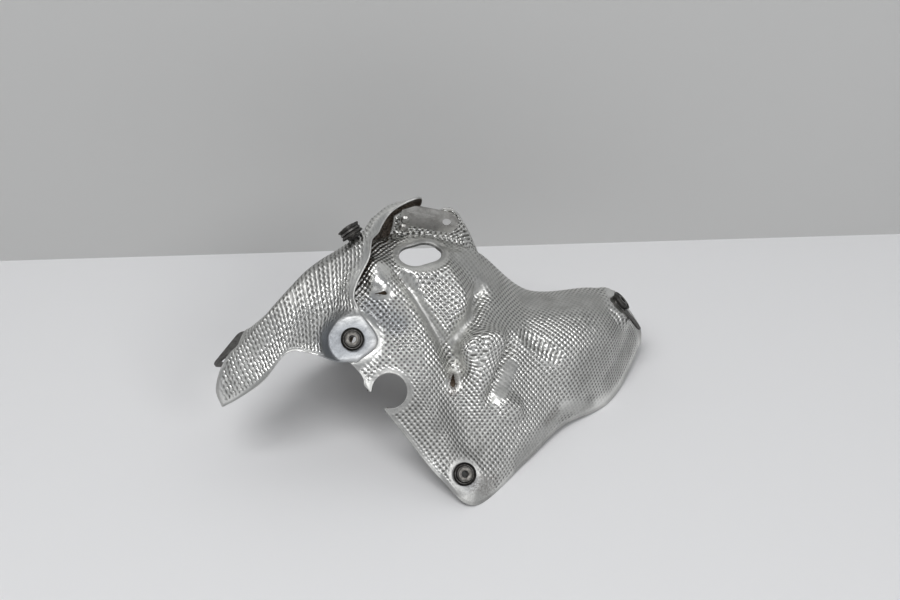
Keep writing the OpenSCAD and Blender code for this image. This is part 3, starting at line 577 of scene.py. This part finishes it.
    rough = node(tree, "ShaderNodeMath", {0: oxideAndPaintedLight, 1: finish["oxideRough"], 2: finish["rough"]},
                 operation="MULTIPLY_ADD").outputs[0]
    rough = node(tree, "ShaderNodeMath", {0: innerShare, 1: finish["innerRough"], 2: rough},
                 operation="MULTIPLY_ADD").outputs[0]
    metal = node(tree, "ShaderNodeMapRange", {0: rusty, 1: 0.0, 2: 1.0, 3: 1.0, 4: 0.2}).outputs[0]
    shader = node(tree, "ShaderNodeBsdfPrincipled", {"Base Color": tone, "Roughness": rough, "Metallic": metal,
                                                     "Normal": bump})
    node(tree, "ShaderNodeOutputMaterial", {"Surface": shader.outputs[0]})
    return material


def steel(name, finish):
    # Pressed steel: satin metal with a fine grain, darker grime in blotches and a little rust
    material, tree = newMaterial(name)
    place = node(tree, "ShaderNodeTexCoord").outputs["Object"]
    grain = node(tree, "ShaderNodeTexNoise", {"Vector": place, "Scale": 1000 / finish["grain"],
                                              "Detail": 4.0, "Roughness": 0.65}).outputs[0]
    blotch = node(tree, "ShaderNodeTexNoise", {"Vector": place, "Scale": 1000 / finish["blotch"],
                                               "Detail": 5.0, "Roughness": 0.7}).outputs[0]
    wear = node(tree, "ShaderNodeMapRange", {0: blotch, 1: 0.4, 2: 0.65}).outputs[0]
    tone = node(tree, "ShaderNodeMix", {0: wear, 6: toLinear(finish["clean"]), 7: toLinear(finish["worn"])},
                data_type="RGBA").outputs[2]
    spots = node(tree, "ShaderNodeMapRange", {0: grain, 1: 0.62, 2: 0.74, 3: 0.0,
                                              4: finish["rustShare"]}).outputs[0]
    tone = node(tree, "ShaderNodeMix", {0: spots, 6: tone, 7: toLinear(finish["rust"])},
                data_type="RGBA").outputs[2]
    rough = node(tree, "ShaderNodeMapRange", {0: blotch, 1: 0.3, 2: 0.7, 3: finish["rough"] - 0.08,
                                              4: finish["rough"] + 0.12}).outputs[0]
    bump = node(tree, "ShaderNodeBump", {"Height": grain, "Strength": 1.0,
                                         "Distance": finish["bump"] / 1000}).outputs[0]
    shader = node(tree, "ShaderNodeBsdfPrincipled", {"Base Color": tone, "Roughness": rough,
                                                     "Metallic": 1.0, "Normal": bump})
    node(tree, "ShaderNodeOutputMaterial", {"Surface": shader.outputs[0]})
    return material


aluminiumFinish = {
    "clean": "e9e9e6", "oxideAndPaintedLight": "b0b0ae", "cool": "8f949c", "grimeAndPitShade": "4e4c49", "rust": "3c2a1e",
    "inner": "75695c", "sootAndShade": "3f372f",
    "pitch": (5.3, 5.3), "turn": 0.0, "ribPitch": (3.6, 9.0), "ribTurn": 35.0, "sway": 0.3,
    "depth": 0.72, "drift": 1.6, "pitShade": 0.85, "pebble": 0.10, "dent": 0.9, "rough": 0.27,
    "oxideRough": 0.3, "innerRough": 0.15,  # added where the sheet is oxidised or sooty
}
sleeveFinish = dict(aluminiumFinish, ribTurn=0.0, ribPitch=(3.6, 5.2), sway=0.5, depth=0.55)
steelFinishes = {
    "zincPlatedSteel": {"clean": "bbbab7", "worn": "999794", "rust": "6b4d38", "rustShare": 0.35,
                        "grain": 0.9, "blotch": 7.0, "rough": 0.36, "bump": 0.05},
    # steel painted darker as shade, for the left and upper brackets whose faces sit in shade
    "shadeDarkenedSteel": {"clean": "7b7a78", "worn": "565452", "rust": "5a4231", "rustShare": 0.4,
                  "grain": 0.8, "blotch": 5.0, "rough": 0.38, "bump": 0.06},
    "blackenedSteel": {"clean": "5f5e5c", "worn": "403e3c", "rust": "4a3a30", "rustShare": 0.25,
                       "grain": 0.7, "blotch": 4.0, "rough": 0.42, "bump": 0.07},
    "collarSteel": {"clean": "696764", "worn": "4b4946", "rust": "5f4839", "rustShare": 0.3,
                    "grain": 0.6, "blotch": 3.0, "rough": 0.34, "bump": 0.05},
    "rivetSteel": {"clean": "b4b2ad", "worn": "8e8b85", "rust": "6b4d38", "rustShare": 0.25,
                   "grain": 0.8, "blotch": 3.0, "rough": 0.35, "bump": 0.04},
    "knittedWire": {"clean": "8f8b84", "worn": "6b675f", "rust": "5f4839", "rustShare": 0.3,
                    "grain": 0.5, "blotch": 2.0, "rough": 0.4, "bump": 0.5},
}
finishes = {key: steel(key, value) for key, value in steelFinishes.items()}

main = buildSheet("mainPanelSheet", mainPanel)
main.data.materials.append(embossedAluminium("embossedAluminium", aluminiumFinish))
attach(main, "root"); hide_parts("main_panel")
sleeve = buildSheet("sleevePanelSheet", sleevePanel)
sleeve.data.materials.append(embossedAluminium("embossedAluminiumSleeve", sleeveFinish))
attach(sleeve, "root"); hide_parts("sleeve_panel")

finishOf = {"top_bracket": "zincPlatedSteel", "left_bracket": "shadeDarkenedSteel", "right_bracket": "blackenedSteel",
            "upper_bracket": "shadeDarkenedSteel", "rivet": "rivetSteel", "washer": "blackenedSteel",
            "collar": "collarSteel", "mesh": "knittedWire"}
softEdge = {"width": 0.18, "angle": 35}  # worn edge of the pressed pieces, in mm, and where it starts
for name, obj in cad.items():
    if name in ("main_panel", "sleeve_panel"):
        continue
    key = next(k for k in finishOf if k in name)
    obj.data.materials.clear()
    obj.data.materials.append(finishes[finishOf[key]])
    bevel = obj.modifiers.new("softEdges", "BEVEL")
    bevel.width = softEdge["width"] / 1000
    bevel.segments = 2
    bevel.limit_method = "ANGLE"
    bevel.angle_limit = math.radians(softEdge["angle"])
print("finishes set")


studio = {
    "cameraAt": (0.0078, -0.9426, 0.7816), "cameraDown": 35, "lens": 52.28,
    "wallLeft": (-0.4823, 0.2478), "wallRight": (0.5134, 0.3031),  # floor line of the back wall
    "floor": "ececed", "wall": "c6c6c5", "world": "b6b8bb", "worldStrength": 0.6,
    "lamps": {"keyBox": ((-0.6, -1.1, 2.3), 1.3, 26), "fillBox": ((1.3, -1.9, 1.7), 1.0, 17)},  # place, size, watts
}


def plainSheet(name, corners, code):
    mesh = bpy.data.meshes.new(name)
    mesh.from_pydata(corners, [], [(0, 1, 2, 3)])
    obj = bpy.data.objects.new(name, mesh)
    bpy.context.scene.collection.objects.link(obj)
    material, tree = newMaterial(name + "Paint")
    paint = node(tree, "ShaderNodeBsdfPrincipled", {"Base Color": toLinear(code), "Roughness": 0.8})
    # seen from its back it lets the eye through, so that the part shows from every side
    clear = node(tree, "ShaderNodeBsdfTransparent")
    back = node(tree, "ShaderNodeNewGeometry").outputs["Backfacing"]
    mixed = node(tree, "ShaderNodeMixShader", {0: back, 1: paint.outputs[0], 2: clear.outputs[0]})
    node(tree, "ShaderNodeOutputMaterial", {"Surface": mixed.outputs[0]})
    mesh.materials.append(material)
    return obj


left, right = np.array(studio["wallLeft"]), np.array(studio["wallRight"])
way = (right - left) / np.linalg.norm(right - left)
a, b = left - 3 * way, right + 3 * way
plainSheet("floor", [(-4, -4, 0), (4, -4, 0), (b[0], b[1] + 0.001, 0), (a[0], a[1] + 0.001, 0)], studio["floor"])
plainSheet("wall", [(a[0], a[1], 0), (b[0], b[1], 0), (b[0], b[1], 3), (a[0], a[1], 3)], studio["wall"])

for name, (place, size, power) in studio["lamps"].items():
    lampData = bpy.data.lights.new(name, "AREA")
    lampData.shape = "DISK"
    lampData.size = size
    lampData.energy = power
    lamp = bpy.data.objects.new(name, lampData)
    bpy.context.scene.collection.objects.link(lamp)
    lamp.location = place
    aim = np.array([0, 0, 0.08]) - np.array(place)
    lamp.rotation_euler = (math.atan2(math.hypot(aim[0], aim[1]), -aim[2]), 0,
                           math.atan2(aim[1], aim[0]) - math.pi / 2)

world = bpy.data.worlds.new("room")
bpy.context.scene.world = world
world.use_nodes = True
world.node_tree.nodes.clear()
sky = node(world.node_tree, "ShaderNodeBackground", {"Color": toLinear(studio["world"]), "Strength": studio["worldStrength"]})
node(world.node_tree, "ShaderNodeOutputWorld", {"Surface": sky.outputs[0]})

cameraData = bpy.data.cameras.new("camera")
cameraData.type = "PERSP"
cameraData.sensor_width = 36
cameraData.lens = studio["lens"]
cameraObject = bpy.data.objects.new("camera", cameraData)
bpy.context.scene.collection.objects.link(cameraObject)
cameraObject.location = studio["cameraAt"]
cameraObject.rotation_euler = (math.radians(90 - studio["cameraDown"]), 0, 0)
bpy.context.scene.camera = cameraObject
bpy.context.scene.view_settings.view_transform = "Standard"
print("studio set")
